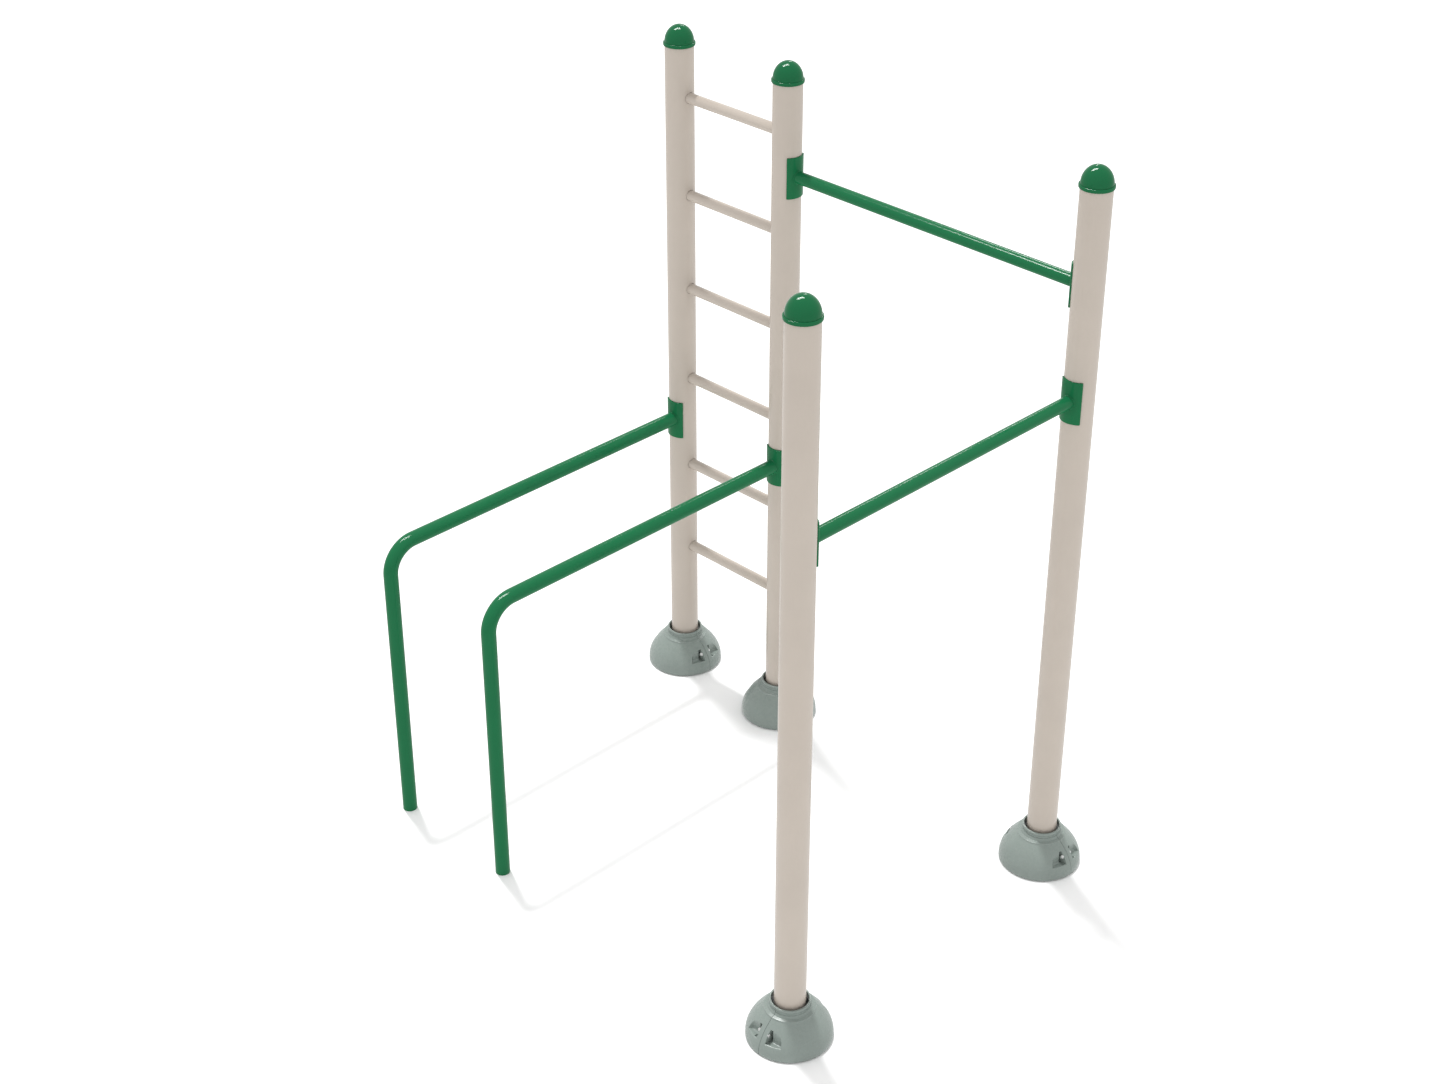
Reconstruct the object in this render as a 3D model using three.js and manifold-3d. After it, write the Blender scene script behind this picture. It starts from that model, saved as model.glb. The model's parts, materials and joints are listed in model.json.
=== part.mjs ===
// Outdoor fitness climbing frame: four round steel posts in an L-shaped plan. The first two posts
// hold the rungs of a ladder, two straight pull-up bars close the other bays, and a pair of
// parallel bars runs from the ladder to legs bent down to the ground.
// Millimetres, +Z up. The frame's origin is on the ground, at the centre of its plan.

import * as THREE from 'three';
import { mergeVertices } from 'three/addons/utils/BufferGeometryUtils.js';
import Module from 'manifold-3d';

const wasm = await Module();
wasm.setup();

// ---------------------------------------------------------------- driving dimensions
const GAP = 0.3;                      // space kept between pieces that touch or are welded

const POST_R = 50.8;                  // 4 in tube
const POST_WALL = 3.2;
const POST_TOP = 2486;
const LADDER_WIDTH = 508;             // between the two ladder posts' axes
const BAY = 1252;                     // between the axes of the posts that hold a pull-up bar

const RUNG_R = 19.05;                 // 1.5 in tube
const RUNG_WALL = 2.4;
const RUNG_COUNT = 6;
const RUNG_FIRST = 530;               // height of the lowest rung's axis
const RUNG_PITCH = 355.6;
const RUNG_REACH = 14;                // how far a rung's end stands inside its post

const BAR_R = 21.5;                   // pull-up bars
const BAR_WALL = 2.8;
const HIGH_BAR = 2168;
const LOW_BAR = 1795;

const RAIL_R = 25.4;                  // parallel bars, 2 in tube
const RAIL_WALL = 2.8;
const RAIL_HEIGHT = 1074;
const RAIL_REACH = 1367;              // from the post's axis to the leg's axis
const RAIL_BEND = 101.6;              // radius of the bend, on the tube's axis
const RAIL_BEND_STEPS = 6;

const SADDLE_HEIGHT = 144;
const SADDLE_WALL = 5;
const SADDLE_HALF_ANGLE = THREE.MathUtils.degToRad(46.5);

const CAP_RIM_R = 55.5;
const CAP_RIM_HEIGHT = 11;
const CAP_RIM_CHAMFER = 2;
const CAP_DOME_R = 51;
const CAP_DOME_STEPS = 2;             // points on each half of the dome's outline
const CAP_TOP = 2556;
const CAP_WALL = 4;
const CAP_CROWN_WALL = 8;
const CAP_PLUG_DEPTH = 30;

const FLANGE_SIDE = 178;              // square base plate under each post
const FLANGE_THICKNESS = 10;
const FLANGE_CORNER = 14;             // cut off each corner
const ANCHOR_SPACING = 130;           // between the anchor studs, both ways
const ANCHOR_STUD_R = 6;
const ANCHOR_STUD_TOP = 34;
const ANCHOR_NUT_R = 10.4;            // across corners
const ANCHOR_NUT_HEIGHT = 10;
const ANCHOR_WASHER_R = 13;
const ANCHOR_WASHER_HEIGHT = 2.5;

const COVER_BASE_R = 139.5;
const COVER_BASE = 4;                 // the cover's lower edge, above the ground
const COVER_EDGE = 12;                // top of the upright edge at the cover's foot
const COVER_BULGE = 64;               // height of the dome curve's control point
const COVER_DOME_STEPS = 4;
const COVER_WALL = 4;
const COVER_SHOULDER_R = 83;
const COVER_SHOULDER = 115;           // height of the dome's upper edge
const COVER_RIDGE_R = 82;
const COVER_RIDGE = 119;              // the shoulder's rounded edge
const COVER_COLLAR_FOOT_R = 71;
const COVER_COLLAR_FOOT = 121;        // where the flat shoulder meets the collar
const COVER_COLLAR_R = 65.5;
const COVER_COLLAR_FLARE = 130;       // the collar widens below this height
const COVER_COLLAR_BORE = 59.5;
const COVER_COLLAR_BORE_BASE = 126;
const COVER_LIP = 2;                  // chamfer of the collar's upper edge
const COVER_TOP = 148;
const SEAM_GAP = 0.4;                 // between the two halves of a cover

// The pocket beside a seam, in a cover's plan: a deep slot for the bolt, then a shallower scoop.
const POCKET_FLOOR = 50;
const SLOT_SEAT = 17.5;               // from the seam to the wall that the bolt's head rests on
const SLOT_TOP = 91;
const SLOT_WELL = 38;                 // the slot's floor, behind the front wall
const SLOT_FRONT = 122;               // inner face of the front wall, from the post's axis
const SLOT_BACK = 86;                 // from the post's axis, along the seam
const SLOT_END = 22.3;                // from the seam to the slot's far corner
const SCOOP_START = new THREE.Vector2(103.5, 26.8);
const SCOOP_END = new THREE.Vector2(99.3, 62);
const SCOOP_MOUTH = new THREE.Vector2(111, 70);
const BOSS_WALL = 5;                  // material left behind the pocket
const COVER_BOLT_X = 110;
const COVER_BOLT_Z = 72;
const COVER_BOLT_R = 4;
const COVER_BOLT_HEAD_R = 7.5;        // across corners
const COVER_BOLT_HEAD = 5.5;
const COVER_BOLT_TIP = 3;             // thread that stands out of the nut

const JOIN = 1;                       // overlap of shapes that are joined into one piece
const CLEAR = 20;                     // how far a cutting shape runs past what it cuts
const TOLERANCE = 1e-4;               // points closer than this are one point

const FINE = 40;                      // sides of the posts
const MEDIUM = 24;                    // sides of the covers and caps
const COARSE = 20;                    // sides of the bars and rungs
const SMALL = 8;                      // sides of the fasteners
const HEXAGON = 6;

// ---------------------------------------------------------------- materials
const finish = (color, roughness, metalness) => () => (
  new THREE.MeshStandardMaterial({ color, roughness, metalness })
);
const postPaint = finish(0xc6bdb2, 0.45, 0.1);
const barPaint = finish(0x266444, 0.32, 0.1);
const capPaint = finish(0x23653f, 0.2, 0.1);
const coverPlastic = finish(0x89968f, 0.4, 0);
const zinc = finish(0x9a9c9c, 0.4, 0.9);

// ---------------------------------------------------------------- solids
function solid(geometry) {
  geometry.deleteAttribute('normal');
  geometry.deleteAttribute('uv');
  const merged = mergeVertices(geometry);
  const mesh = new wasm.Mesh({
    numProp: 3,
    vertProperties: new Float32Array(merged.attributes.position.array),
    triVerts: new Uint32Array(merged.index.array),
  });
  return new wasm.Manifold(mesh);
}

function geometryOf(body) {
  const mesh = body.getMesh();
  const geometry = new THREE.BufferGeometry();
  geometry.setAttribute('position', new THREE.BufferAttribute(mesh.vertProperties, 3));
  geometry.setIndex(new THREE.BufferAttribute(mesh.triVerts, 1));
  geometry.computeVertexNormals();
  return geometry;
}

function ring(outer, inner) {
  const shape = new THREE.Shape();
  shape.absarc(0, 0, outer, 0, 2 * Math.PI);
  const hole = new THREE.Path();
  hole.absarc(0, 0, inner, 0, 2 * Math.PI);
  shape.holes.push(hole);
  return shape;
}

// a shape in the XY plane, raised from z = low to z = high
function prism(shape, low, high, sides = SMALL) {
  const options = { depth: high - low, bevelEnabled: false, curveSegments: sides / 2 };
  const geometry = new THREE.ExtrudeGeometry(shape, options);
  return geometry.translate(0, 0, low);
}

// a round rod standing on z = low
function rod(radius, low, high, sides) {
  const geometry = new THREE.CylinderGeometry(radius, radius, high - low, sides);
  return geometry.rotateX(Math.PI / 2).translate(0, 0, (low + high) / 2);
}

// a lathe turned about the Z axis from an outline of (radius, height) points
function turned(outline, sides) {
  return new THREE.LatheGeometry(outline, sides).rotateX(Math.PI / 2);
}

function polygon(points) {
  return new THREE.Shape(points.map(([x, y]) => new THREE.Vector2(x, y)));
}

function named(name, geometry, material) {
  const mesh = new THREE.Mesh(geometry, material);
  mesh.name = name;
  return mesh;
}

// ---------------------------------------------------------------- posts and ladder
// rungSide is +1 or -1 for a post that holds the rungs on that side of X, and 0 for a plain post
function postGeometry(rungSide) {
  const tube = prism(ring(POST_R, POST_R - POST_WALL), FLANGE_THICKNESS + GAP, POST_TOP, FINE);
  if (rungSide === 0) {
    return tube;
  }
  let body = solid(tube);
  for (let i = 0; i < RUNG_COUNT; i += 1) {
    const drill = rod(RUNG_R + GAP, 0, 2 * POST_R, COARSE);
    drill.rotateY(rungSide * Math.PI / 2).translate(0, 0, RUNG_FIRST + i * RUNG_PITCH);
    body = body.subtract(solid(drill));
  }
  return geometryOf(body);
}

function rungGeometry() {
  const end = POST_R - POST_WALL - RUNG_REACH;
  const tube = prism(ring(RUNG_R, RUNG_R - RUNG_WALL), end, LADDER_WIDTH - end, COARSE);
  return tube.rotateY(Math.PI / 2);
}

// ---------------------------------------------------------------- post caps
function capGeometry() {
  const plugR = POST_R - POST_WALL - GAP;
  const base = POST_TOP + GAP;
  const domeBase = base + CAP_RIM_HEIGHT;
  const outline = new THREE.Path();
  outline.moveTo(0, CAP_TOP - CAP_CROWN_WALL);
  outline.lineTo(plugR / 2, CAP_TOP - CAP_CROWN_WALL - CAP_WALL);
  outline.lineTo(plugR - CAP_WALL, domeBase);
  outline.lineTo(plugR - CAP_WALL, base - CAP_PLUG_DEPTH);
  outline.lineTo(plugR, base - CAP_PLUG_DEPTH);
  outline.lineTo(plugR, base);
  outline.lineTo(CAP_RIM_R, base);
  outline.lineTo(CAP_RIM_R, domeBase - CAP_RIM_CHAMFER);
  outline.lineTo(CAP_RIM_R - CAP_RIM_CHAMFER, domeBase);
  outline.lineTo(CAP_DOME_R, domeBase);
  outline.absellipse(0, domeBase, CAP_DOME_R, CAP_TOP - domeBase, 0, Math.PI / 2, false);
  return turned(withoutRepeats(outline.getPoints(CAP_DOME_STEPS)), MEDIUM);
}

// the outline's points with repeats dropped, and points that should lie on the axis put on it
function withoutRepeats(points) {
  const kept = [];
  for (const p of points) {
    const point = new THREE.Vector2(Math.abs(p.x) < TOLERANCE ? 0 : p.x, p.y);
    if (kept.length === 0 || kept[kept.length - 1].distanceTo(point) > TOLERANCE) {
      kept.push(point);
    }
  }
  return kept;
}

// ---------------------------------------------------------------- base plates and anchors
function flangeGeometry() {
  const half = FLANGE_SIDE / 2;
  const flat = half - FLANGE_CORNER;
  const corners = [[half, -flat], [half, flat], [flat, half], [-flat, half],
    [-half, flat], [-half, -flat], [-flat, -half], [flat, -half]];
  const shape = polygon(corners);
  for (const [x, y] of anchorPlaces()) {
    const hole = new THREE.Path();
    hole.absarc(x, y, ANCHOR_STUD_R + GAP, 0, 2 * Math.PI);
    shape.holes.push(hole);
  }
  return prism(shape, 0, FLANGE_THICKNESS);
}

function anchorPlaces() {
  const half = ANCHOR_SPACING / 2;
  return [[half, half], [-half, half], [-half, -half], [half, -half]];
}

// a stud with its washer and nut, in one piece as it is tightened
function anchorGeometry() {
  const washerBase = FLANGE_THICKNESS + GAP;
  const nutBase = washerBase + ANCHOR_WASHER_HEIGHT;
  const stud = solid(rod(ANCHOR_STUD_R, 0, ANCHOR_STUD_TOP, SMALL));
  const washer = solid(rod(ANCHOR_WASHER_R, washerBase, nutBase, SMALL));
  const nut = solid(rod(ANCHOR_NUT_R, nutBase - JOIN, nutBase + ANCHOR_NUT_HEIGHT, HEXAGON));
  return geometryOf(stud.add(washer).add(nut));
}

// ---------------------------------------------------------------- base covers
// the dome's curve in (radius, height), or the same curve moved inwards
function domeCurve(inset) {
  return new THREE.QuadraticBezierCurve(
    new THREE.Vector2(COVER_BASE_R - inset, COVER_EDGE),
    new THREE.Vector2(COVER_BASE_R - inset, COVER_BULGE - inset / 2),
    new THREE.Vector2(COVER_SHOULDER_R - inset, COVER_SHOULDER - inset),
  );
}

// the whole cover as a solid of revolution, filled inside
function coverEnvelope() {
  const outline = [
    new THREE.Vector2(0, COVER_BASE),
    new THREE.Vector2(COVER_BASE_R, COVER_BASE),
    ...domeCurve(0).getPoints(COVER_DOME_STEPS),
    new THREE.Vector2(COVER_RIDGE_R, COVER_RIDGE),
    new THREE.Vector2(COVER_COLLAR_FOOT_R, COVER_COLLAR_FOOT),
    new THREE.Vector2(COVER_COLLAR_R, COVER_COLLAR_FLARE),
    new THREE.Vector2(COVER_COLLAR_R, COVER_TOP - COVER_LIP),
    new THREE.Vector2(COVER_COLLAR_R - COVER_LIP, COVER_TOP),
    new THREE.Vector2(0, COVER_TOP),
  ];
  return solid(turned(outline, MEDIUM));
}

// the space under the cover and through its collar
function coverHollow() {
  const outline = [
    new THREE.Vector2(0, COVER_BASE - JOIN),
    new THREE.Vector2(COVER_BASE_R - COVER_WALL, COVER_BASE - JOIN),
    ...domeCurve(COVER_WALL).getPoints(COVER_DOME_STEPS - 1),
    new THREE.Vector2(COVER_COLLAR_R, COVER_RIDGE - COVER_LIP),
    new THREE.Vector2(COVER_COLLAR_BORE, COVER_COLLAR_BORE_BASE),
    new THREE.Vector2(COVER_COLLAR_BORE, COVER_TOP + JOIN),
    new THREE.Vector2(0, COVER_TOP + JOIN),
  ];
  return solid(turned(outline, MEDIUM));
}

// material round the bolt and behind the pocket, before the pocket is cut
function bossBlock() {
  const outside = COVER_BASE_R + CLEAR;
  const section = polygon([
    [SLOT_BACK - BOSS_WALL, 0],
    [outside, 0],
    [outside, SCOOP_MOUTH.y + 2 * BOSS_WALL],
    [SCOOP_END.x - BOSS_WALL, SCOOP_END.y + BOSS_WALL],
    [SCOOP_START.x - BOSS_WALL, SLOT_END + BOSS_WALL],
    [SLOT_BACK - BOSS_WALL, SLOT_END + BOSS_WALL],
  ]);
  return solid(prism(section, SLOT_WELL - BOSS_WALL, SLOT_TOP + BOSS_WALL));
}

// the slot that holds the bolt's end and the scoop that lets a spanner in
function pocket() {
  const outside = COVER_BASE_R + CLEAR;
  const slot = polygon([
    [SLOT_BACK, SLOT_SEAT],
    [outside, SLOT_SEAT],
    [outside, SCOOP_MOUTH.y],
    [SCOOP_START.x, SCOOP_START.y],
    [SLOT_BACK, SLOT_END],
  ]);
  const well = polygon([
    [SLOT_BACK, SLOT_SEAT],
    [SLOT_FRONT, SLOT_SEAT],
    [SLOT_FRONT, SLOT_END + BOSS_WALL],
    [SLOT_BACK, SLOT_END],
  ]);
  const scoop = polygon([
    [SCOOP_START.x, SCOOP_START.y - JOIN],
    [outside, SLOT_SEAT + JOIN],
    [outside, SCOOP_MOUTH.y + CLEAR],
    [SCOOP_MOUTH.x, SCOOP_MOUTH.y],
    [SCOOP_END.x, SCOOP_END.y],
  ]);
  return solid(prism(slot, POCKET_FLOOR, SLOT_TOP))
    .add(solid(prism(well, SLOT_WELL, POCKET_FLOOR + JOIN)))
    .add(solid(prism(scoop, POCKET_FLOOR, COVER_TOP)));
}

// half a cover, on the +Y side of a seam that lies along X
function coverHalfGeometry() {
  const reach = COVER_BASE_R + CLEAR;
  const side = polygon([
    [-reach, SEAM_GAP / 2],
    [reach, SEAM_GAP / 2],
    [reach, reach],
    [-reach, reach],
  ]);
  const halfSpace = solid(prism(side, -JOIN, COVER_TOP + JOIN));
  const envelope = coverEnvelope();
  let body = envelope.subtract(coverHollow());
  for (const block of [bossBlock(), bossBlock().mirror([1, 0, 0])]) {
    body = body.add(block.intersect(envelope));
  }
  for (const space of [pocket(), pocket().mirror([1, 0, 0])]) {
    body = body.subtract(space);
  }
  for (const x of [COVER_BOLT_X, -COVER_BOLT_X]) {
    const drill = rod(COVER_BOLT_R + GAP, -reach, reach, SMALL);
    drill.rotateX(Math.PI / 2).translate(x, 0, COVER_BOLT_Z);
    body = body.subtract(solid(drill));
  }
  return geometryOf(body.intersect(halfSpace));
}

// the bolt across a seam with its hexagon head and nut, along Y and centred on the seam
function coverBoltGeometry() {
  const seat = SLOT_SEAT + GAP;
  const end = seat + COVER_BOLT_HEAD;
  const shank = solid(rod(COVER_BOLT_R, -seat - JOIN, end + COVER_BOLT_TIP, SMALL));
  const head = solid(rod(COVER_BOLT_HEAD_R, -end, -seat, HEXAGON));
  const nut = solid(rod(COVER_BOLT_HEAD_R, seat, end, HEXAGON));
  return geometryOf(shank.add(head).add(nut)).rotateX(Math.PI / 2);
}

// ---------------------------------------------------------------- saddles and bars
// a plate curved round the post, facing +X, centred on z = 0
function saddleGeometry() {
  const inner = POST_R + GAP;
  const shape = new THREE.Shape();
  shape.absarc(0, 0, inner + SADDLE_WALL, -SADDLE_HALF_ANGLE, SADDLE_HALF_ANGLE, false);
  shape.absarc(0, 0, inner, SADDLE_HALF_ANGLE, -SADDLE_HALF_ANGLE, true);
  return prism(shape, -SADDLE_HEIGHT / 2, SADDLE_HEIGHT / 2, SMALL);
}

// what a bar's end is shaped to: the outside of the saddle round a post standing at (x, y)
function saddleEnvelope(x, y) {
  const radius = POST_R + GAP + SADDLE_WALL + GAP;
  return solid(rod(radius, -SADDLE_HEIGHT, SADDLE_HEIGHT, FINE).translate(x, y, 0));
}

// a straight tube along +X from one post's axis to the next, with both ends cut to the saddles
function pullUpBarGeometry() {
  const tube = prism(ring(BAR_R, BAR_R - BAR_WALL), 0, BAY, COARSE).rotateY(Math.PI / 2);
  const coped = solid(tube).subtract(saddleEnvelope(0, 0)).subtract(saddleEnvelope(BAY, 0));
  return geometryOf(coped);
}

// the axis of a parallel bar: level along -Y, a quarter bend, then straight down
class RailPath extends THREE.Curve {
  constructor() {
    super();
    this.straight = RAIL_REACH - RAIL_BEND;
    this.bendStart = 1 / (RAIL_BEND_STEPS + 2);
    this.bendEnd = 1 - this.bendStart;
  }

  getPoint(t, target = new THREE.Vector3()) {
    if (t <= this.bendStart) {
      return target.set(0, -this.straight * (t / this.bendStart), 0);
    }
    if (t >= this.bendEnd) {
      const down = (t - this.bendEnd) / (1 - this.bendEnd);
      return target.set(0, -RAIL_REACH, -RAIL_BEND - (RAIL_HEIGHT - RAIL_BEND) * down);
    }
    const angle = (Math.PI / 2) * (t - this.bendStart) / (this.bendEnd - this.bendStart);
    const y = -this.straight - RAIL_BEND * Math.sin(angle);
    return target.set(0, y, RAIL_BEND * (Math.cos(angle) - 1));
  }

  // one step for each straight and one for each part of the bend
  getUtoTmapping(u) {
    return u;
  }
}

function railGeometry() {
  const options = { extrudePath: new RailPath(), steps: RAIL_BEND_STEPS + 2, curveSegments: COARSE / 2 };
  const tube = new THREE.ExtrudeGeometry(ring(RAIL_R, RAIL_R - RAIL_WALL), options);
  return geometryOf(solid(tube).subtract(saddleEnvelope(0, 0)));
}

// ---------------------------------------------------------------- assembly
const frame = new THREE.Group();
frame.position.set(
  -(LADDER_WIDTH + BAY) / 2,
  (RAIL_REACH + RAIL_R - COVER_BASE_R) / 2,
  0,
);

const posts = [
  { name: 'ladder_post_left', x: 0, y: 0, rungSide: 1, seam: 0 },
  { name: 'ladder_post_right', x: LADDER_WIDTH, y: 0, rungSide: -1, seam: 0 },
  { name: 'corner_post', x: LADDER_WIDTH + BAY, y: 0, rungSide: 0, seam: 0 },
  { name: 'end_post', x: LADDER_WIDTH + BAY, y: -BAY, rungSide: 0, seam: Math.PI / 2 },
];

for (const post of posts) {
  const station = new THREE.Group();
  station.position.set(post.x, post.y, 0);
  station.add(named(post.name, postGeometry(post.rungSide), postPaint()));
  station.add(named(`${post.name}_cap`, capGeometry(), capPaint()));
  station.add(named(`${post.name}_base_plate`, flangeGeometry(), zinc()));
  anchorPlaces().forEach(([x, y], i) => {
    const anchor = named(`${post.name}_anchor_${i + 1}`, anchorGeometry(), zinc());
    anchor.position.set(x, y, 0);
    station.add(anchor);
  });

  const cover = new THREE.Group();
  cover.rotation.z = post.seam;
  ['a', 'b'].forEach((letter, i) => {
    const half = named(`${post.name}_cover_${letter}`, coverHalfGeometry(), coverPlastic());
    half.rotation.z = i * Math.PI;
    const bolt = named(`${post.name}_cover_bolt_${letter}`, coverBoltGeometry(), zinc());
    const place = new THREE.Group();
    place.rotation.z = i * Math.PI;
    bolt.position.set(COVER_BOLT_X, 0, COVER_BOLT_Z);
    place.add(bolt);
    cover.add(half, place);
  });
  station.add(cover);
  frame.add(station);
}

for (let i = 0; i < RUNG_COUNT; i += 1) {
  const rung = named(`rung_${i + 1}`, rungGeometry(), postPaint());
  rung.position.z = RUNG_FIRST + i * RUNG_PITCH;
  frame.add(rung);
}

// a bar that starts at the axis of one post and points along `turn`, with a saddle on each post
function addPullUpBar(name, x, y, height, turn) {
  const bar = new THREE.Group();
  bar.position.set(x, y, height);
  bar.rotation.z = turn;
  bar.add(named(name, pullUpBarGeometry(), barPaint()));
  bar.add(named(`${name}_saddle_start`, saddleGeometry(), barPaint()));
  const far = named(`${name}_saddle_end`, saddleGeometry(), barPaint());
  far.position.x = BAY;
  far.rotation.z = Math.PI;
  bar.add(far);
  frame.add(bar);
}

addPullUpBar('high_bar', LADDER_WIDTH, 0, HIGH_BAR, 0);
addPullUpBar('low_bar', LADDER_WIDTH + BAY, 0, LOW_BAR, -Math.PI / 2);

[['left', 0], ['right', LADDER_WIDTH]].forEach(([side, x]) => {
  const rail = new THREE.Group();
  rail.position.set(x, 0, RAIL_HEIGHT);
  rail.add(named(`parallel_bar_${side}`, railGeometry(), barPaint()));
  const saddle = named(`parallel_bar_${side}_saddle`, saddleGeometry(), barPaint());
  saddle.rotation.z = -Math.PI / 2;
  rail.add(saddle);
  frame.add(rail);
});

export default frame;
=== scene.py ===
"""Looks of the fitness station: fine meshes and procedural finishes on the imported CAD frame.

Metres, +Z up, in the frame of the CAD model. Places and main sizes come from the CAD nodes' boxes.
"""

import json
import math

import bmesh
import bpy
from mathutils import Matrix, Vector

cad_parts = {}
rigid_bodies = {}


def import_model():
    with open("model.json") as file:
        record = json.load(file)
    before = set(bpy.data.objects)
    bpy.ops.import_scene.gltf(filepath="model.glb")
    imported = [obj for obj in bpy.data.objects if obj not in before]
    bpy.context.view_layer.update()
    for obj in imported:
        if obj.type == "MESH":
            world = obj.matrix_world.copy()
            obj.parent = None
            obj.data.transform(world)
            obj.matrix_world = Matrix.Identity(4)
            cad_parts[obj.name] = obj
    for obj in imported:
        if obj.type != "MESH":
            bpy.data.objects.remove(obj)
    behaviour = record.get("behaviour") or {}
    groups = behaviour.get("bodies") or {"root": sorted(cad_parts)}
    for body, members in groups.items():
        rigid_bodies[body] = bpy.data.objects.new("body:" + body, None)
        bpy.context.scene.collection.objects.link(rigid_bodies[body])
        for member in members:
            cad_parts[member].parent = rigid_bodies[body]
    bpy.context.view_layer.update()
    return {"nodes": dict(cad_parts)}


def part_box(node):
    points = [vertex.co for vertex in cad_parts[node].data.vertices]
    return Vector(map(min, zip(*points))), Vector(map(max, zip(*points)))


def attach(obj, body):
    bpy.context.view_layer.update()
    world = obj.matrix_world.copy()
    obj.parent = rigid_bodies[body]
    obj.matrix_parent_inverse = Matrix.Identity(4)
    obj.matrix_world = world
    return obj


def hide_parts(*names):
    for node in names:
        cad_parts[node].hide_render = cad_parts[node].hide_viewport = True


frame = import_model()

# ---------------------------------------------------------------- sizes
POSTS = ("ladder_post_left", "ladder_post_right", "corner_post", "end_post")
LADDER_POSTS = POSTS[:2]
RUNGS = sorted(n for n in frame["nodes"] if n.startswith("rung_"))
PULL_UP_BARS = (
    # bar, post at its start, post at its end
    ("high_bar", "ladder_post_right", "corner_post"),
    ("low_bar", "corner_post", "end_post"),
)
PARALLEL_BARS = ("parallel_bar_left", "parallel_bar_right")

ROUND_SIDES = 128          # sides of a fine round piece
ARC_STEPS = 5              # parts of a small rounded edge
SHARP_ANGLE = math.radians(50)
SAME_POINT = 1e-6          # points nearer than this are one

POST_WALL = 0.0032
RUNG_WALL = 0.0024
BAR_WALL = 0.0028
EDGE = 0.0006              # rounding of cut tube ends
HOLE_CLEARANCE = 0.0009    # round each rung in its post

RAIL_BEND = 0.1016         # radius of the parallel bars' bend, on the tube's axis
BEND_STEPS = 32

SADDLE_EDGE = 0.0012
SADDLE_HALF_ANGLE = math.radians(46.5)
SADDLE_STEPS = 48
WELD_R = 0.0028
WELD_RIPPLES = 44
WELD_RIPPLE = 0.10         # share of the bead's radius
WELD_SIDES = 12

CAP_RIM_HEIGHT = 0.011
CAP_RIM_LOW_EDGE = 0.0012
CAP_RIM_HIGH_EDGE = 0.0036
CAP_DOME_R = 0.051
CAP_WALL = 0.004
CAP_DOME_STEPS = 28

COVER_WALL = 0.004
COVER_EDGE = 0.008         # height of the upright edge at the cover's foot
COVER_BULGE = 0.064        # height of the dome curve's control point
COVER_SHOULDER_R = 0.083
COVER_SHOULDER = 0.115
COVER_RIDGE = 0.119        # the shoulder's rounded edge
COVER_COLLAR_FOOT_R = 0.071
COVER_COLLAR_FOOT = 0.1212
COVER_COLLAR_R = 0.0655
COVER_FLARE = 0.130        # the collar widens below this height
COVER_BORE = 0.0595
COVER_BORE_BASE = 0.126
COVER_SPAN = 0.12          # length of the dome's curve from foot to shoulder
SEAM_GAP = 0.0006          # from the seam's middle to a half's face
COVER_SIDES = 72           # even columns round a half, besides those at the pockets

RIDGE_INSET = 0.0002       # of the ridge's corner from the shoulder
RIDGE_ROUND = 0.0022
FOOT_ROUND = 0.0012        # where the collar meets the ridge's flat
FLARE_OUT = 0.0010
FLARE_ROUND = 0.005
LIP_ROUND = 0.0018
GROOVES_BELOW_TOP = (0.0170, 0.0090)
GROOVE_DEPTH = 0.0006
GROOVE_HALF_FLOOR = 0.0006
GROOVE_HALF_MOUTH = 0.0008
BELOW_GROOVE_OUT = 0.0003  # the collar is slightly wider below a groove

POCKET_FLOOR = 0.050
POCKET_EDGE = 0.0016       # rounding where the pocket breaks the dome
SLOT_SEAT = 0.0175         # from the seam to the wall that the bolt's head rests on
SLOT_BACK = 0.086          # from the post's axis, along the seam
SLOT_WELL = 0.012          # drop of the slot's floor behind its front wall
SLOT_FRONT = 0.004         # thickness of that wall
SLOT_TOP = 0.091
SLOT_SIDE = math.radians(14.5)     # the slot's far wall is radial, at this angle from the seam
SLOT_FILLET = 0.0012
SCOOP_FACE = 0.1071        # where the line of the scoop's wall crosses the seam
SCOOP_LEAN = 0.132         # how fast that line nears the post
SCOOP_END = math.radians(32)
SCOOP_ROUND = math.radians(3.4)    # the part of the scoop that curves out to its end
SCOOP_LIP = math.radians(0.8)      # rounding between the slot's far wall and the scoop
SCOOP_FILLET = 0.008
LIP_HAIR = SCOOP_LIP / 50  # from the slot's last column to its far wall
MOST_EDGE = 0.3            # shares of a pocket's height or depth that its roundings may take
MOST_FILLET_UP = 0.45
MOST_FILLET_IN = 0.5
FLOOR_STEPS = 3            # parts of a pocket's floor and of its ceiling
ROOF_STEPS = 2

WASHER_R = 0.0081
WASHER_HEIGHT = 0.0014
HEAD_R = 0.0074            # bolt head, across corners
HEAD_HEIGHT = 0.0053
SHANK_R = 0.004
SHANK_TIP = 0.0028         # length of shank past the nut
HEAD_TIP = 0.0002          # raised centre of the head
HEAD_CHAMFER = 0.08        # share of the head's radius
BOLT_SIDES = 48


# ---------------------------------------------------------------- mesh helpers
def middle(node):
    low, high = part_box(node)
    return (low + high) / 2


def half_size(node):
    low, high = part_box(node)
    return (high - low) / 2


def finished(name, mesh, node, look):
    """Makes the piece from its mesh: it stands for the CAD node and takes its finish."""
    mesh.shade_smooth()
    mesh.set_sharp_from_angle(angle=SHARP_ANGLE)
    piece = bpy.data.objects.new(name, mesh)
    bpy.context.scene.collection.objects.link(piece)
    mesh.materials.append(look)
    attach(piece, "root")
    if node:
        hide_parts(node)


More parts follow.
